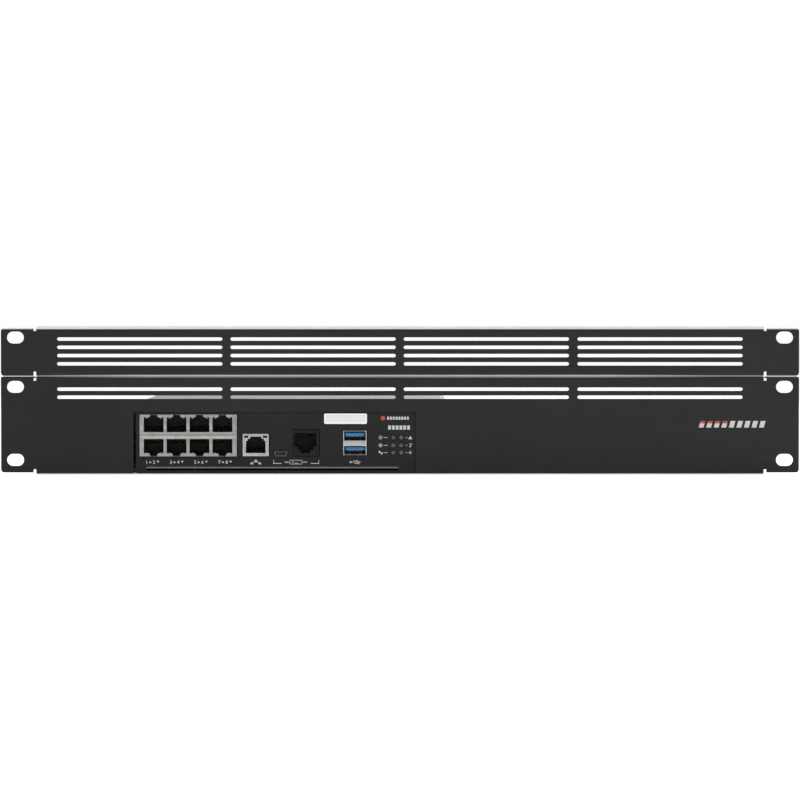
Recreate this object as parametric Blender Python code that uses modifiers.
"""A desktop firewall appliance in a two-unit, 19-inch rack kit.

Two folded sheet-steel panels stand one above the other. The lower one has a cut-out, open at the bottom,
and the port face of a fanless appliance stands behind it on a sheet-steel shelf. All driving dimensions are
in millimetres. They are measured from the middle of the panels' front plane at the lower edge: X to the
right, Y backwards and Z up.
"""

import math

import bmesh
import bpy

MM = 0.001
OVERALL_DEPTH = 236.0  # front plane to the rear edge of the shelf
GAP = 0.3  # clearance between pieces that touch
WELD = 0.005 * MM  # joins the caps of a filled outline to its sides

# Rack panels
PANEL_WIDTH = 482.6  # 19 inches over the ears
FLANGED_WIDTH = 440.0  # the stiffened middle, between the ears
SHEET = 1.5
BEND_RADIUS = 2.0
BEND_STEPS = 6
FLANGE_DEPTH = 12.0
RELIEF_WIDTH = 1.6
RELIEF_DEPTH = 2.6
EAR_STEP = 0.7  # the ears end this far inside the flanges, except where the two panels meet
TAB_REACH = 1.3  # a tab on each lower ear closes the relief notch at the seam to a small hole
TAB_HEIGHT = 1.0
EAR_RADIUS = 2.0
FACEPLATE_Z = (0.0, 58.8)
FILLER_Z = (59.12, 88.9)
EAR_SLOT_X = 232.5
EAR_SLOT_SIZE = (10.3, 7.25)
FACEPLATE_EAR_Z = (8.3, 52.5)
FILLER_EAR_Z = (82.3,)

# Vent slots in both panels
VENT_LENGTH = 100.0
VENT_HEIGHT = 2.05
VENT_X = (-157.35, -52.55, 52.2, 157.25)
FACEPLATE_VENT_Z = (46.25, 51.1)
FILLER_VENT_Z = (66.4, 71.4, 76.4, 81.4)

# Cut-out in the faceplate
CUTOUT_X = (-161.2, 9.5)
CUTOUT_TOP = 37.5

# Appliance
CASE_X = (-160.0, 29.5)
CASE_TOP = 44.2
CASE_WALL = 1.2
CASE_SHOULDER = 5.0
BEZEL_Y = (SHEET + GAP, 4.3)
COVER_Y = (4.6, 223.4)
REAR_PANEL_Y = (223.7, 225.2)
BASE_Z = 4.0
BASE_TOP = 10.0
COVER_VENT_X = (-113.0, -18.0)
COVER_VENT_Y = (48.0, 56.0, 64.0, 160.0, 168.0, 176.0)
COVER_SCREW_Y = (40.0, 190.0)
COVER_SCREW_Z = 7.0
SIDE_VENT_Z = (17.0, 33.0)
BOARD_TOP = 10.05
BOARD_THICKNESS = 1.6
BOARD_X = (-154.0, 23.0)
BOARD_Y = (6.0, 221.0)
PARTS_Z = BOARD_TOP + GAP  # underside of the pieces that stand on the board
BOARD_FIXINGS = ((-148.0, 60.0), (17.0, 60.0), (-148.0, 198.0), (17.0, 198.0))
CHIP_HEIGHT = 2.4
PROCESSOR_PLACE = (-72.0, 116.0)
SWITCH_PLACE = (-126.0, 56.0)
FIN_THICKNESS = 1.6
INLET_X = (-12.0, 6.0)
INLET_HALF = 5.5
INLET_Z = (PARTS_Z, 21.5)
INLET_Y = (209.0, 226.5)
GROUND_PLACE = (-45.0, 20.0)

# Ports, in the plane of the face
PORT_PITCH = 13.87
PORT_COLUMNS = tuple(-149.05 + PORT_PITCH * column for column in range(4))
PORT_WIDTH = 11.9
PORT_DEPTH = 14.5
GANG_X = (-157.6, -98.7)
GANG_Z = (10.4, 35.7)
GANG_Y = (1.0, 27.0)
MANAGEMENT_X = (-95.2, -79.4)
MANAGEMENT_Z = (10.5, 24.0)
CONSOLE_X = (-64.6, -48.9)
CONSOLE_Z = (10.7, 26.6)
CONSOLE_CENTRE = -57.2
MICRO_USB_CENTRE = (-72.1, 11.9)
USB_X = (-34.4, -20.2)
USB_Z = (11.1, 26.0)
USB_OPENINGS = ((11.7, 16.65), (19.95, 25.2))
LIGHT_X = (-4.1, 0.8)
LIGHT_Z = (12.7, 17.1, 21.8)
LIGHT_RADIUS = 1.35
LABEL_X = (-45.9, -20.0)
LABEL_Z = (30.05, 36.35)
INTAKE_X = (-153.7, -0.8)
INTAKE_Z = (1.9, 3.0)

# Shelf and brackets
SHELF_X = (-164.5, 34.0)
SHELF_Y = (14.0, OVERALL_DEPTH)
SHELF_WALL_TOP = 40.0
BRACKET_Z = (6.0, 36.0)
BRACKET_REACH = 24.0
BRACKET_LENGTH = 70.0
STUD_Z = (12.0, 30.0)
STUD_OFFSET = 14.0
STUD_RADIUS = 1.5
SHELF_SCREW_Y = (28.0, 58.0)
SHELF_SCREW_Z = 18.0
CLIP_X = (-150.0, 19.5)
CLIP_SCREW_Y = 231.0

# Finishes: colour, roughness, metallic
FINISHES = {
    "powder_coat": ((0.025, 0.025, 0.026), 0.55, 0.0),
    "case_paint": ((0.022, 0.022, 0.023), 0.5, 0.0),
    "bezel_plastic": ((0.020, 0.020, 0.021), 0.5, 0.0),
    "nickel": ((0.55, 0.54, 0.52), 0.35, 1.0),
    "zinc": ((0.50, 0.51, 0.52), 0.4, 1.0),
    "black_plastic": ((0.01, 0.01, 0.01), 0.4, 0.0),
    "blue_plastic": ((0.01, 0.16, 0.42), 0.35, 0.0),
    "lens_plastic": ((0.10, 0.10, 0.10), 0.3, 0.0),
    "label_paper": ((0.85, 0.85, 0.85), 0.6, 0.0),
    "circuit_board": ((0.01, 0.07, 0.03), 0.45, 0.0),
    "chip_resin": ((0.02, 0.02, 0.02), 0.5, 0.0),
    "black_aluminium": ((0.03, 0.03, 0.03), 0.4, 1.0),
    "steel": ((0.45, 0.45, 0.46), 0.35, 1.0),
    "rubber": ((0.02, 0.02, 0.02), 0.9, 0.0),
}


# ---- outlines: lists of (across, up) points ----


def rectangle(x, z):
    return [(x[0], z[0]), (x[1], z[0]), (x[1], z[1]), (x[0], z[1])]


def arc(centre, radius, start, end, steps):
    """Points on an arc, with its angles in degrees."""
    angles = [math.radians(start + (end - start) * step / steps) for step in range(steps + 1)]
    return [(centre[0] + radius * math.cos(a), centre[1] + radius * math.sin(a)) for a in angles]


def circle(centre, radius, sides=16):
    return arc(centre, radius, 0, 360 - 360 / sides, sides - 1)


def rounded_rectangle(x, z, radii, steps=6):
    """A rectangle with the lower and the upper corner radius in radii."""
    low, high = radii
    return (
        arc((x[0] + low, z[0] + low), low, 180, 270, steps)
        + arc((x[1] - low, z[0] + low), low, 270, 360, steps)
        + arc((x[1] - high, z[1] - high), high, 0, 90, steps)
        + arc((x[0] + high, z[1] - high), high, 90, 180, steps)
    )


def obround(centre, length, height, steps=4):
    """A slot with full round ends."""
    radius = height / 2
    reach = length / 2 - radius
    return arc((centre[0] + reach, centre[1]), radius, -90, 90, steps) + arc(
        (centre[0] - reach, centre[1]), radius, 90, 270, steps
    )


def counter_clockwise(outline):
    doubled_area = sum(a[0] * b[1] - b[0] * a[1] for a, b in zip(outline, outline[1:] + outline[:1]))
    return outline if doubled_area > 0 else outline[::-1]


def port_steps(centre, width, z_open, z_step, z_latch, shares=(0.36, 0.21)):
    """A modular jack's mouth as three rectangles: its full width, a shoulder and the notch for the latch.

    The shoulder's and the notch's half widths are shares of the full width.
    """
    z_middle = (z_step + z_latch) / 2
    towards_open = math.copysign(0.5, z_open - z_step)
    steps = ((width / 2, z_open, z_step), (width * shares[0], z_step + towards_open, z_middle))
    steps += ((width * shares[1], z_middle + towards_open, z_latch),)
    return [rectangle((centre - half, centre + half), sorted((z_from, z_to))) for half, z_from, z_to in steps]


# ---- objects ----


def clear_scene():
    for old in list(bpy.data.objects):
        bpy.data.objects.remove(old, do_unlink=True)


def finish_material(name):
    material = bpy.data.materials.get(name)
    if material:
        return material
    colour, roughness, metallic = FINISHES[name]
    material = bpy.data.materials.new(name)
    material.use_nodes = True
    shader = material.node_tree.nodes["Principled BSDF"]
    shader.inputs["Base Color"].default_value = (*colour, 1.0)
    shader.inputs["Roughness"].default_value = roughness
    shader.inputs["Metallic"].default_value = metallic
    return material


def add_object(name, mesh, finish, location=(0, 0, 0), rotation=(0, 0, 0)):
    """An object in the appliance's collection, or a cutter where finish is None."""
    thing = bpy.data.objects.new(name, mesh)
    (PARTS if finish else CUTTERS).objects.link(thing)
    thing.parent = FRONT_PLANE
    thing.location = [value * MM for value in location]
    thing.rotation_euler = [math.radians(angle) for angle in rotation]
    if finish:
        thing.data.materials.append(finish_material(finish))
    else:
        thing.hide_render = True
        thing.display_type = "WIRE"
    return thing


def mesh_from(bm, name):
    mesh = bpy.data.meshes.new(name)
    bm.to_mesh(mesh)
    bm.free()
    return mesh


def add_box(name, x, y, z, finish):
    """A block between the two values of each axis."""
    bm = bmesh.new()
    bmesh.ops.create_cube(bm, size=1.0)
    bmesh.ops.scale(bm, vec=[(side[1] - side[0]) * MM for side in (x, y, z)], verts=bm.verts)
    centre = [(side[0] + side[1]) / 2 for side in (x, y, z)]
    return add_object(name, mesh_from(bm, name), finish, centre)


def add_rod(name, radius, start, length, axis, finish, sides=16):
    """A round bar from start along X, Y or Z."""
    bm = bmesh.new()
    bmesh.ops.create_cone(
        bm, cap_ends=True, segments=sides, radius1=radius * MM, radius2=radius * MM, depth=length * MM
    )
    mesh = mesh_from(bm, name)
    mesh.shade_smooth()
    mesh.set_sharp_from_angle(angle=math.radians(40))
    turn = {"X": (0, 90, 0), "Y": (-90, 0, 0), "Z": (0, 0, 0)}[axis]
    centre = [value + (length / 2 if letter == axis else 0) for value, letter in zip(start, "XYZ")]
    return add_object(name, mesh, finish, centre, turn)


def add_plate(name, outlines, span, normal, finish):
    """A flat piece from closed outlines, the inner ones being holes. span is its two faces along normal.

    Across and up are X and Z for normal Y, X and Y for normal Z, and Y and Z for normal X.
    """
    curve = bpy.data.curves.new(name, "CURVE")
    curve.dimensions = "2D"
    curve.fill_mode = "BOTH"
    curve.extrude = (span[1] - span[0]) / 2 * MM
    for outline in map(counter_clockwise, outlines):
        spline = curve.splines.new("POLY")
        spline.points.add(len(outline) - 1)
        for point, (across, up) in zip(spline.points, outline):
            point.co = (across * MM, up * MM, 0, 1)
        spline.use_cyclic_u = True
    drawn = bpy.data.objects.new(name + "_outline", curve)
    PARTS.objects.link(drawn)
    bpy.context.view_layer.update()
    mesh = bpy.data.meshes.new_from_object(drawn.evaluated_get(bpy.context.evaluated_depsgraph_get()))
    bpy.data.objects.remove(drawn)
    bpy.data.curves.remove(curve)
    bm = bmesh.new()
    bm.from_mesh(mesh)
    bmesh.ops.remove_doubles(bm, verts=bm.verts, dist=WELD)
    bmesh.ops.recalc_face_normals(bm, faces=bm.faces)
    bm.to_mesh(mesh)
    bm.free()
    mesh.materials.clear()
    middle = (span[0] + span[1]) / 2
    location, turn = {
        "X": ((middle, 0, 0), (90, 0, 90)),
        "Y": ((0, middle, 0), (90, 0, 0)),
        "Z": ((0, 0, middle), (0, 0, 0)),
    }[normal]
    return add_object(name, mesh, finish, location, turn)


def add_bent_sheet(name, profile, span, along, thickness, finish):
    """Sheet metal bent to a profile of outer points, swept along X (profile Y, Z) or Y (profile X, Z)."""
    bm = bmesh.new()
    rows = []
    for across, up in profile:
        ends = [(end, across, up) if along == "X" else (across, end, up) for end in span]
        rows.append([bm.verts.new([value * MM for value in end]) for end in ends])
    for low, high in zip(rows, rows[1:]):
        bm.faces.new((low[0], low[1], high[1], high[0]))
    sheet = add_object(name, mesh_from(bm, name), finish)
    thicken(sheet, thickness)
    return sheet


def thicken(sheet, thickness):
    solid = sheet.modifiers.new("sheet thickness", "SOLIDIFY")
    solid.thickness = thickness * MM
    solid.offset = -1.0
    solid.use_even_offset = True


def combine(body, other, operation):
    boolean = body.modifiers.new(operation.lower() + " " + other.name, "BOOLEAN")
    boolean.operation = operation
    boolean.solver = "EXACT"
    boolean.object = other


def cut(body, cutter):
    combine(body, cutter, "DIFFERENCE")


def join(body, other):
    combine(body, other, "UNION")


# ---- rack panels ----


def panel_profile(z_low, z_high):
    """The folded section of a panel as (back, up) points, from the lower flange to the upper one."""
    radius = BEND_RADIUS
    return (
        [(FLANGE_DEPTH, z_low)]
        + arc((radius, z_low + radius), radius, 270, 180, BEND_STEPS)
        + [(0.0, z_low + RELIEF_DEPTH), (0.0, z_high - RELIEF_DEPTH)]
        + arc((radius, z_high - radius), radius, 180, 90, BEND_STEPS)
        + [(FLANGE_DEPTH, z_high)]
    )


def add_rack_panel(name, z_low, z_high, ear_low, ear_high, tab=False):
    """A panel whose middle is folded back at top and bottom, with flat ears beyond small relief notches.

    The ears run from ear_low to ear_high. With tab, a small tab reaches from each ear over the upper notch.
    """
    bm = bmesh.new()
    made = {}

    def corner(x, back, up):
        key = (round(x, 4), round(back, 4), round(up, 4))
        if key not in made:
            made[key] = bm.verts.new([value * MM for value in key])
        return made[key]

    def patch(x, low, high):
        bm.faces.new((corner(x[0], *low), corner(x[1], *low), corner(x[1], *high), corner(x[0], *high)))

    middle = FLANGED_WIDTH / 2
    ear = middle + RELIEF_WIDTH
    edge = PANEL_WIDTH / 2
    profile = panel_profile(z_low, z_high)
    for low, high in zip(profile, profile[1:]):
        patch((-middle, middle), low, high)
    notch_low = (0.0, z_low + RELIEF_DEPTH)
    notch_high = (0.0, z_high - RELIEF_DEPTH)
    ear_rows = [(0.0, ear_low), notch_low, notch_high, (0.0, ear_high)]
    if tab:
        ear_rows.insert(3, (0.0, ear_high - TAB_HEIGHT))
    for inner, outer in ((-ear, -edge), (ear, edge)):
        patch(sorted((inner, math.copysign(middle, inner))), notch_low, notch_high)
        if tab:
            patch(sorted((inner, math.copysign(ear - TAB_REACH, inner))), *ear_rows[-2:])
        for low, high in zip(ear_rows, ear_rows[1:]):
            patch(sorted((inner, outer)), low, high)
    corners = [corner(side * edge, *row) for side in (-1, 1) for row in (ear_rows[0], ear_rows[-1])]
    bmesh.ops.bevel(bm, geom=corners, offset=EAR_RADIUS * MM, segments=3, profile=0.5, affect="VERTICES")
    panel = add_object(name, mesh_from(bm, name), "powder_coat")
    thicken(panel, SHEET)
    return panel


def panel_holes(name, vent_rows, ear_rows):
    """One cutter for a panel's vent slots and ear slots."""
    outlines = [obround((x, z), VENT_LENGTH, VENT_HEIGHT, 4) for z in vent_rows for x in VENT_X]
    outlines += [obround((side * EAR_SLOT_X, z), *EAR_SLOT_SIZE, 8) for z in ear_rows for side in (-1, 1)]
    return add_plate(name, outlines, (-2.0, 4.0), "Y", None)


def stud_places():
    return [(x, z) for x in (SHELF_X[0] - STUD_OFFSET, SHELF_X[1] + STUD_OFFSET) for z in STUD_Z]


def build_panels():
    low, seam = FACEPLATE_Z
    faceplate = add_rack_panel("lower_faceplate", low, seam, low + EAR_STEP, seam, tab=True)
    cut(faceplate, panel_holes("faceplate_holes", FACEPLATE_VENT_Z, FACEPLATE_EAR_Z))
    cut(faceplate, add_box("port_cutout", CUTOUT_X, (-3.0, FLANGE_DEPTH + 3.0), (-3.0, CUTOUT_TOP), None))
    notch_x = (CUTOUT_X[0] + 2.0, CASE_X[1] + 1.0)
    cut(faceplate, add_box("flange_notch", notch_x, (SHEET, FLANGE_DEPTH + 3.0), (-3.0, 2.4), None))
    for number, (x, z) in enumerate(stud_places(), 1):
        join(faceplate, add_rod(f"clinch_stud_{number}", STUD_RADIUS, (x, 0.7, z), 7.3, "Y", None, 12))
    seam, high = FILLER_Z
    filler = add_rack_panel("filler_panel", seam, high, seam, high - EAR_STEP)
    cut(filler, panel_holes("filler_holes", FILLER_VENT_Z, FILLER_EAR_Z))


# ---- shelf and its brackets ----


def build_shelf():
    x, radius = SHELF_X, BEND_RADIUS
    profile = (
        [(x[0], SHELF_WALL_TOP)]
        + arc((x[0] + radius, radius), radius, 180, 270, 4)
        + arc((x[1] - radius, radius), radius, 270, 360, 4)
        + [(x[1], SHELF_WALL_TOP)]
    )
    shelf = add_bent_sheet("shelf_tray", profile, SHELF_Y, "Y", SHEET, "powder_coat")
    side_holes = [circle((y, SHELF_SCREW_Z), 1.9) for y in SHELF_SCREW_Y]
    cut(shelf, add_plate("shelf_side_holes", side_holes, (x[0] - 5, x[1] + 5), "X", None))
    floor_holes = [circle((centre, CLIP_SCREW_Y), 1.9) for centre in CLIP_X]
    centres = [(centre, y) for y in range(60, 150, 22) for centre in (-115.0, -15.0)]
    cooling_holes = [obround(centre, 44.0, 7.0, 3) for centre in centres]
    cut(shelf, add_plate("shelf_floor_holes", floor_holes + cooling_holes, (-2.0, 3.0), "Z", None))


def build_brackets():
    """An angle at each side: one leg on the back of the faceplate, the other along the shelf's wall."""
    y_face = SHEET + GAP
    for side, wall, outwards in (("left", SHELF_X[0], -1), ("right", SHELF_X[1], 1)):
        inner = wall + outwards * GAP
        tip = inner + outwards * BRACKET_REACH
        radius = BEND_RADIUS
        bend = arc((inner + outwards * radius, y_face + radius), radius, 180, 270, 4)
        if outwards < 0:
            bend = arc((inner - radius, y_face + radius), radius, 270, 360, 4)
        leg_end = (inner, y_face + BRACKET_LENGTH)
        flange_end = (tip, y_face)
        profile = [leg_end] + bend + [flange_end] if outwards > 0 else [flange_end] + bend + [leg_end]
        bracket = add_angle(f"{side}_panel_bracket", profile)
        face_holes = [circle((x, z), 1.9) for x, z in stud_places() if (x - wall) * outwards > 0]
        cut(bracket, add_plate(f"{side}_bracket_face_holes", face_holes, (0.0, 6.0), "Y", None))
        leg_holes = [circle((y, SHELF_SCREW_Z), 1.9) for y in SHELF_SCREW_Y]
        reach = sorted((inner - outwards * 3, inner + outwards * 4))
        cut(bracket, add_plate(f"{side}_bracket_leg_holes", leg_holes, reach, "X", None))


def add_angle(name, profile):
    """An angle bracket: a plan profile of (X, Y) points raised over the bracket's height."""
    bm = bmesh.new()
    rows = []
    for x, y in profile:
        rows.append([bm.verts.new((x * MM, y * MM, z * MM)) for z in BRACKET_Z])
    for first, second in zip(rows, rows[1:]):
        bm.faces.new((first[0], second[0], second[1], first[1]))
    angle = add_object(name, mesh_from(bm, name), "powder_coat")
    thicken(angle, SHEET)
    return angle


def add_nut(name, centre, y, finish):
    outline = [circle(centre, 3.1, 6), circle(centre, STUD_RADIUS + GAP, 12)]
    return add_plate(name, outline, (y, y + 2.4), "Y", finish)


def add_screw(name, head_radius, head, shank_radius, shank, start, axis, finish):
    """A pan-head screw whose head's outer face starts at start; the shank follows it along axis."""
    direction = 1 if shank > 0 else -1
    first = list(start)
    place = "XYZ".index(axis)
    if direction < 0:
        first[place] -= head
    screw = add_rod(name, head_radius, first, head, axis, finish, 12)
    second = list(start)
    second[place] += direction * head * 0.5 if direction > 0 else shank - head
    length = abs(shank) + head * 0.5
    join(screw, add_rod(name + "_shank", shank_radius, second, length, axis, None, 10))
    return screw


def build_bracket_fasteners():
    nut_y = SHEET + GAP + SHEET + GAP
    for number, place in enumerate(stud_places(), 1):
        add_nut(f"bracket_nut_{number}", place, nut_y, "zinc")
    head = 1.8
    number = 0
    for wall, outwards in ((SHELF_X[0], -1), (SHELF_X[1], 1)):
        face = wall + outwards * (GAP + SHEET + GAP + head)
        for y in SHELF_SCREW_Y:
            number += 1
            length = -outwards * (head + 2 * SHEET + 2 * GAP - 0.5)
            place = (face, y, SHELF_SCREW_Z)
            add_screw(f"shelf_screw_{number}", 2.9, head, 1.5, length, place, "X", "zinc")


def build_rear_clips():
    """Small angles on the shelf that stop the appliance sliding backwards."""
    y_case = REAR_PANEL_Y[1] + GAP
    z_floor = SHEET + GAP
    for number, (side, x) in enumerate(zip(("left", "right"), CLIP_X), 1):
        profile = [(y_case, 15.0), (y_case, z_floor), (y_case + 9.0, z_floor)]
        clip = add_bent_sheet(f"rear_clip_{side}", profile, (x + 7.0, x - 7.0), "X", SHEET, "powder_coat")
        hole = [circle((x, CLIP_SCREW_Y), 1.9)]
        cut(clip, add_plate(f"rear_clip_{side}_hole", hole, (0.5, 5.0), "Z", None))
        head = 1.8
        top = z_floor + SHEET + GAP + head
        place = (x, CLIP_SCREW_Y, top)
        add_screw(f"clip_screw_{number}", 2.6, head, 1.5, -(top - head - 0.2), place, "Z", "zinc")


# ---- appliance case ----


def build_case():
    x, wall, shoulder = CASE_X, CASE_WALL, CASE_SHOULDER
    profile = (
        [(x[1], BASE_Z)]
        + arc((x[1] - shoulder, CASE_TOP - shoulder), shoulder, 0, 90, 8)
        + arc((x[0] + shoulder, CASE_TOP - shoulder), shoulder, 90, 180, 8)
        + [(x[0], BASE_Z)]
    )
    cover = add_bent_sheet("top_cover", profile, COVER_Y, "Y", wall, "case_paint")
    vents = [obround((centre, y), 40.0, 3.0, 3) for centre in COVER_VENT_X for y in COVER_VENT_Y]
    cut(cover, add_plate("cover_vents", vents, (CASE_TOP - 3, CASE_TOP + 3), "Z", None))
    side_vents = [rectangle((y - 1.5, y + 1.5), SIDE_VENT_Z) for y in range(84, 150, 8)]
    cut(cover, add_plate("side_vents", side_vents, (x[0] - 3, x[1] + 3), "X", None))
    screw_holes = [circle((y, COVER_SCREW_Z), 1.5, 10) for y in COVER_SCREW_Y]
    cut(cover, add_plate("cover_screw_holes", screw_holes, (x[0] - 3, x[1] + 3), "X", None))

    inner = (x[0] + wall + GAP, x[1] - wall - GAP)
    base_profile = [(inner[0], BASE_TOP), (inner[0], BASE_Z), (inner[1], BASE_Z), (inner[1], BASE_TOP)]
    base = add_bent_sheet("chassis_base", base_profile, COVER_Y, "Y", wall, "case_paint")
    base_holes = [circle((y, COVER_SCREW_Z), 1.5, 10) for y in COVER_SCREW_Y]
    cut(base, add_plate("base_screw_holes", base_holes, (x[0] - 3, x[1] + 3), "X", None))
    for number, (bx, by) in enumerate(BOARD_FIXINGS, 1):
        foot = BASE_Z + 0.6
        height = BOARD_TOP - BOARD_THICKNESS - GAP - foot
        post = add_rod(f"standoff_{number}", 3.0, (bx, by, foot), height, "Z", None, 12)
        join(base, post)
        bore = add_rod(f"standoff_bore_{number}", 1.5, (bx, by, BASE_Z - 1), 8.0, "Z", None, 10)
        cut(base, bore)


def build_bezel():
    """The moulded face: a window for each port, a hole for each light and an intake slot at its foot."""
    windows = [
        grown(GANG_X, GANG_Z, GAP),
        grown(MANAGEMENT_X, MANAGEMENT_Z, GAP),
        grown(CONSOLE_X, CONSOLE_Z, GAP),
        grown(USB_X, USB_Z, GAP),
        micro_usb_outline(GAP),
        rectangle(INTAKE_X, INTAKE_Z),
    ]
    windows += [circle((x, z), LIGHT_RADIUS + 0.3) for x in LIGHT_X for z in LIGHT_Z]
    face = rounded_rectangle(CASE_X, (0.0, CASE_TOP), (1.0, CASE_SHOULDER))
    add_plate("front_bezel", [face] + windows, BEZEL_Y, "Y", "bezel_plastic")
    label = rounded_rectangle(LABEL_X, LABEL_Z, (0.8, 0.8), 2)
    add_plate("blank_label", [label], (BEZEL_Y[0] - 2 * GAP, BEZEL_Y[0] - GAP), "Y", "label_paper")


def grown(x, z, by):
    return rectangle((x[0] - by, x[1] + by), (z[0] - by, z[1] + by))


def micro_usb_outline(grow):
    """The tapered rim of a micro-USB socket."""
    x, z = MICRO_USB_CENTRE
    top, bottom, high, low = 4.2 + grow, 3.1 + grow, 1.6 + grow, 1.6 + grow
    lower = [(x - bottom, z - low), (x + bottom, z - low)]
    return lower + [(x + top, z), (x + top, z + high), (x - top, z + high), (x - top, z)]


def build_rear():
    inlets = [grown((x - INLET_HALF, x + INLET_HALF), INLET_Z, GAP) for x in INLET_X]
    vents = [rectangle((x - 1.5, x + 1.5), (14.0, 34.0)) for x in range(-128, -70, 7)]
    ground = circle(GROUND_PLACE, 3.0)
    outline = rounded_rectangle(CASE_X, (BASE_Z, CASE_TOP), (0.5, CASE_SHOULDER))
    add_plate("rear_panel", [outline, ground] + inlets + vents, REAR_PANEL_Y, "Y", "case_paint")
    add_rod("ground_stud", 2.4, (GROUND_PLACE[0], 218.0, GROUND_PLACE[1]), 15.0, "Y", "zinc", 16)
    nut = [circle(GROUND_PLACE, 4.6, 6), circle(GROUND_PLACE, 2.4 + GAP, 16)]
    y_nut = REAR_PANEL_Y[1] + GAP
    add_plate("ground_nut", nut, (y_nut, y_nut + 3.2), "Y", "zinc")


def build_inlets():
    """Two round direct-current inlets, side by side, each with its centre pin."""
    z_middle = (INLET_Z[0] + INLET_Z[1]) / 2
    for number, x in enumerate(INLET_X, 1):
        sides = (x - INLET_HALF, x + INLET_HALF)
        inlet = add_box(f"dc_inlet_{number}", sides, INLET_Y, INLET_Z, "black_plastic")
        cut(inlet, add_rod(f"inlet_bore_{number}", 3.2, (x, 215.0, z_middle), 14.0, "Y", None, 20))
        join(inlet, add_rod(f"inlet_pin_{number}", 1.2, (x, 213.0, z_middle), 12.5, "Y", None, 12))


# ---- ports ----


def cut_mouths(bodies, name, ports, depth):
    """Cuts the mouths of modular jacks. Each step is a little shallower, so that no two end in one plane."""
    for step, outlines in enumerate(zip(*[port_steps(*port) for port in ports])):
        cutter = add_plate(f"{name}_{step}", outlines, (-1.0, depth - 0.2 * step), "Y", None)
        for body in bodies:
            cut(body, cutter)


def build_gang_jack():
    """The 2 by 4 Ethernet jack: a nickel shield round a black insert. The upper row's latches are on top."""
    shield = add_box("ethernet_jack_shield", GANG_X, GANG_Y, GANG_Z, "nickel")
    hollow_x = (GANG_X[0] + 0.5, GANG_X[1] - 0.5)
    hollow_z = (GANG_Z[0] + 0.5, GANG_Z[1] - 0.5)
    cut(shield, add_box("gang_hollow", hollow_x, (GANG_Y[0] + 0.8, GANG_Y[1] + 2), hollow_z, None))
    insert_x = (hollow_x[0] + GAP, hollow_x[1] - GAP)
    insert_z = (hollow_z[0] + GAP, hollow_z[1] - GAP)
    insert_y = (GANG_Y[0] + 0.8 + GAP, GANG_Y[1] - 0.5)
    insert = add_box("ethernet_jack_insert", insert_x, insert_y, insert_z, "black_plastic")
    rows = ((25.1, 34.1, 35.1), (20.9, 12.3, 11.0))
    ports = [(centre, PORT_WIDTH, *row, (0.21, 0.185)) for row in rows for centre in PORT_COLUMNS]
    cut_mouths((shield, insert), "gang_mouth", ports, PORT_DEPTH)


def build_management_jack():
    shield = add_box("management_jack_shield", MANAGEMENT_X, (1.0, 17.0), MANAGEMENT_Z, "nickel")
    hollow_x = (MANAGEMENT_X[0] + 0.5, MANAGEMENT_X[1] - 0.5)
    hollow_z = (MANAGEMENT_Z[0] + 0.5, MANAGEMENT_Z[1] - 0.5)
    cut(shield, add_box("management_hollow", hollow_x, (1.8, 19.0), hollow_z, None))
    insert_x = (hollow_x[0] + GAP, hollow_x[1] - GAP)
    insert_z = (hollow_z[0] + GAP, hollow_z[1] - GAP)
    insert = add_box("management_jack_insert", insert_x, (2.1, 16.6), insert_z, "black_plastic")
    centre = (MANAGEMENT_X[0] + MANAGEMENT_X[1]) / 2
    mouth = (centre, 11.8, 12.4, 19.8, 22.4, (0.42, 0.29))
    cut_mouths((shield, insert), "management_mouth", [mouth], PORT_DEPTH)


def build_console_jack():
    jack = add_box("console_jack", CONSOLE_X, (1.2, 17.0), CONSOLE_Z, "black_plastic")
    cut_mouths((jack,), "console_mouth", [(CONSOLE_CENTRE, 13.0, 24.5, 16.3, 12.4)], PORT_DEPTH)


def build_usb_ports():
    x, z = MICRO_USB_CENTRE
    socket = add_plate("micro_usb_port", [micro_usb_outline(0.0)], (1.3, 7.3), "Y", "nickel")
    cut(socket, add_box("micro_usb_mouth", (x - 2.95, x + 2.95), (0.0, 6.4), (z - 0.6, z + 1.0), None))
    shell = add_box("usb_port_shell", USB_X, (0.8, 19.0), USB_Z, "nickel")
    mouth_x = (USB_X[0] + 0.6, USB_X[1] - 0.6)
    tongue_x = (mouth_x[0] + 0.7, mouth_x[1] - 0.7)
    for name, (low, high) in zip(("lower", "upper"), USB_OPENINGS):
        cut(shell, add_box(f"usb_mouth_{name}", mouth_x, (0.0, 17.5), (low, high), None))
        tongue_z = (high - 2.5, high - 0.6)
        add_box(f"usb_tongue_{name}", tongue_x, (1.6, 17.2), tongue_z, "blue_plastic")


def build_lights():
    """Six light pipes moulded on one carrier that stands on the board."""
    carrier_x = (LIGHT_X[0] - 1.4, LIGHT_X[1] + 1.4)
    carrier_z = (PARTS_Z, LIGHT_Z[-1] + 1.6)
    pipes = add_box("status_light_pipes", carrier_x, (9.0, 12.0), carrier_z, "lens_plastic")
    for column, x in enumerate(LIGHT_X, 1):
        for row, z in enumerate(LIGHT_Z, 1):
            name = f"light_pipe_{column}_{row}"
            join(pipes, add_rod(name, LIGHT_RADIUS, (x, BEZEL_Y[0] - 0.2, z), 8.8, "Y", None, 12))


# ---- main board ----


def build_board():
    outline = rectangle(BOARD_X, BOARD_Y)
    holes = [circle(place, 1.8, 10) for place in BOARD_FIXINGS]
    add_plate("main_board", [outline] + holes, (BOARD_TOP - BOARD_THICKNESS, BOARD_TOP), "Z", "circuit_board")
    for number, (x, y) in enumerate(BOARD_FIXINGS, 1):
        head = 1.8
        top = BOARD_TOP + GAP + head
        add_screw(f"board_screw_{number}", 2.8, head, 1.2, -5.0, (x, y, top), "Z", "zinc")


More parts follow.
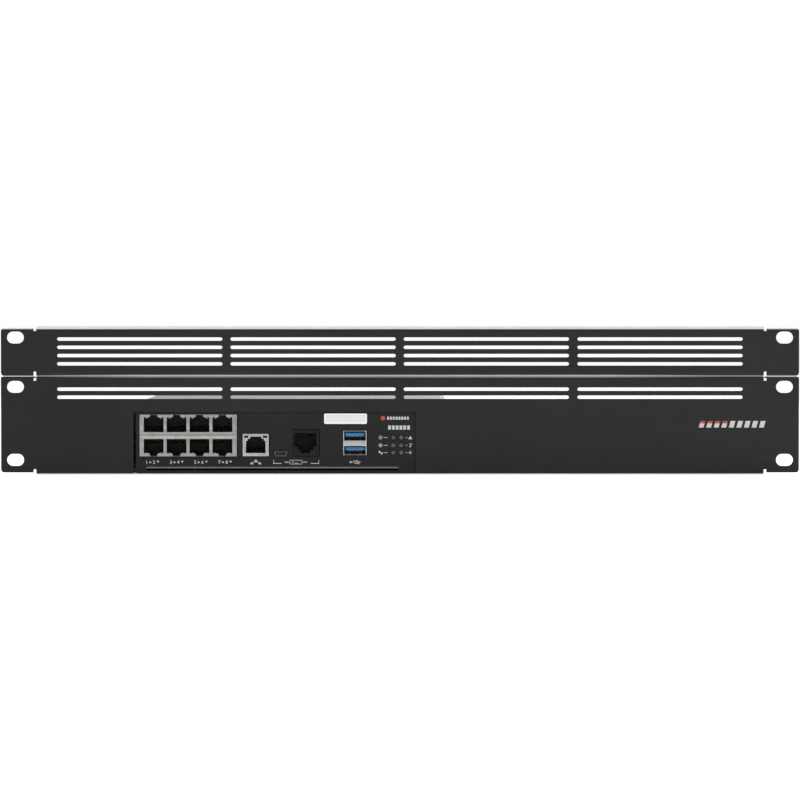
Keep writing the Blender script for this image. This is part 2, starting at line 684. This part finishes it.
def add_heatsink(name, centre, size, base_z, base, top, fins, finish):
    """An extruded sink: a flat base with upright fins that run front to back."""
    x0, x1 = centre[0] - size / 2, centre[0] + size / 2
    pitch = (size - FIN_THICKNESS) / (fins - 1)
    outline = [(x0, base_z), (x1, base_z)]
    for fin in reversed(range(fins)):
        left = x0 + pitch * fin
        right = left + FIN_THICKNESS
        outline += [(right, base_z + base), (right, top), (left, top), (left, base_z + base)]
    outline = [outline[0], outline[1]] + outline[3:-1]
    span = (centre[1] - size / 2, centre[1] + size / 2)
    return add_plate(name, [outline], span, "Y", finish)


def build_chips():
    sink_z = PARTS_Z + CHIP_HEIGHT + GAP
    for name, place, side, sink_side, top, fins in (
        ("processor", PROCESSOR_PLACE, 30.0, 78.0, 36.0, 12),
        ("switch_chip", SWITCH_PLACE, 20.0, 34.0, 26.0, 7),
    ):
        x = (place[0] - side / 2, place[0] + side / 2)
        y = (place[1] - side / 2, place[1] + side / 2)
        add_box(name, x, y, (PARTS_Z, PARTS_Z + CHIP_HEIGHT), "chip_resin")
        add_heatsink(name + "_heatsink", place, sink_side, sink_z, 3.0, top, fins, "black_aluminium")
    for number, y in enumerate((88.0, 104.0), 1):
        chip_z = (PARTS_Z, PARTS_Z + 1.2)
        add_box(f"memory_chip_{number}", (-24.0, -11.0), (y, y + 11.0), chip_z, "chip_resin")
    add_box("storage_socket", (-22.0, 0.0), (126.0, 131.0), (PARTS_Z, PARTS_Z + 4.2), "black_plastic")
    add_box("storage_module", (-22.0, 0.0), (131.3, 173.0), (PARTS_Z + 2.0, PARTS_Z + 4.2), "circuit_board")
    add_box("power_inductor", (6.0, 17.0), (176.0, 187.0), (PARTS_Z, PARTS_Z + 6.0), "chip_resin")
    add_rod("bulk_capacitor", 5.0, (-24.0, 190.0, PARTS_Z), 13.0, "Z", "steel", 20)


def build_coin_cell():
    x, y = -128.0, 172.0
    holder = add_rod("coin_cell_holder", 12.0, (x, y, PARTS_Z), 4.6, "Z", "black_plastic", 24)
    cut(holder, add_rod("coin_cell_pocket", 10.6, (x, y, PARTS_Z + 0.9), 6.0, "Z", None, 24))
    add_rod("coin_cell", 10.0, (x, y, PARTS_Z + 1.2), 3.2, "Z", "steel", 24)


def build_case_fasteners():
    head = 1.6
    for number, y in enumerate(COVER_SCREW_Y, 1):
        place = (CASE_X[0] - GAP - head, y, COVER_SCREW_Z)
        add_screw(f"cover_screw_{number}", 2.6, head, 1.15, 4.0, place, "X", "zinc")


def build_feet():
    foot_z = SHEET + GAP
    x_places = (CASE_X[0] + 16.0, CASE_X[1] - 16.0)
    places = [(x, y) for x in x_places for y in (26.0, 206.0)]
    for number, (x, y) in enumerate(places, 1):
        add_rod(f"rubber_foot_{number}", 6.0, (x, y, foot_z), BASE_Z - GAP - foot_z, "Z", "rubber", 16)


clear_scene()
PARTS = bpy.data.collections.new("rack_firewall_appliance")
CUTTERS = bpy.data.collections.new("cutters")
bpy.context.scene.collection.children.link(PARTS)
bpy.context.scene.collection.children.link(CUTTERS)
FRONT_PLANE = bpy.data.objects.new("front_plane", None)
FRONT_PLANE.location = (0.0, -OVERALL_DEPTH / 2 * MM, 0.0)
PARTS.objects.link(FRONT_PLANE)

build_panels()
build_shelf()
build_brackets()
build_bracket_fasteners()
build_rear_clips()
build_case()
build_bezel()
build_rear()
build_inlets()
build_gang_jack()
build_management_jack()
build_console_jack()
build_usb_ports()
build_lights()
build_board()
build_chips()
build_coin_cell()
build_case_fasteners()
build_feet()
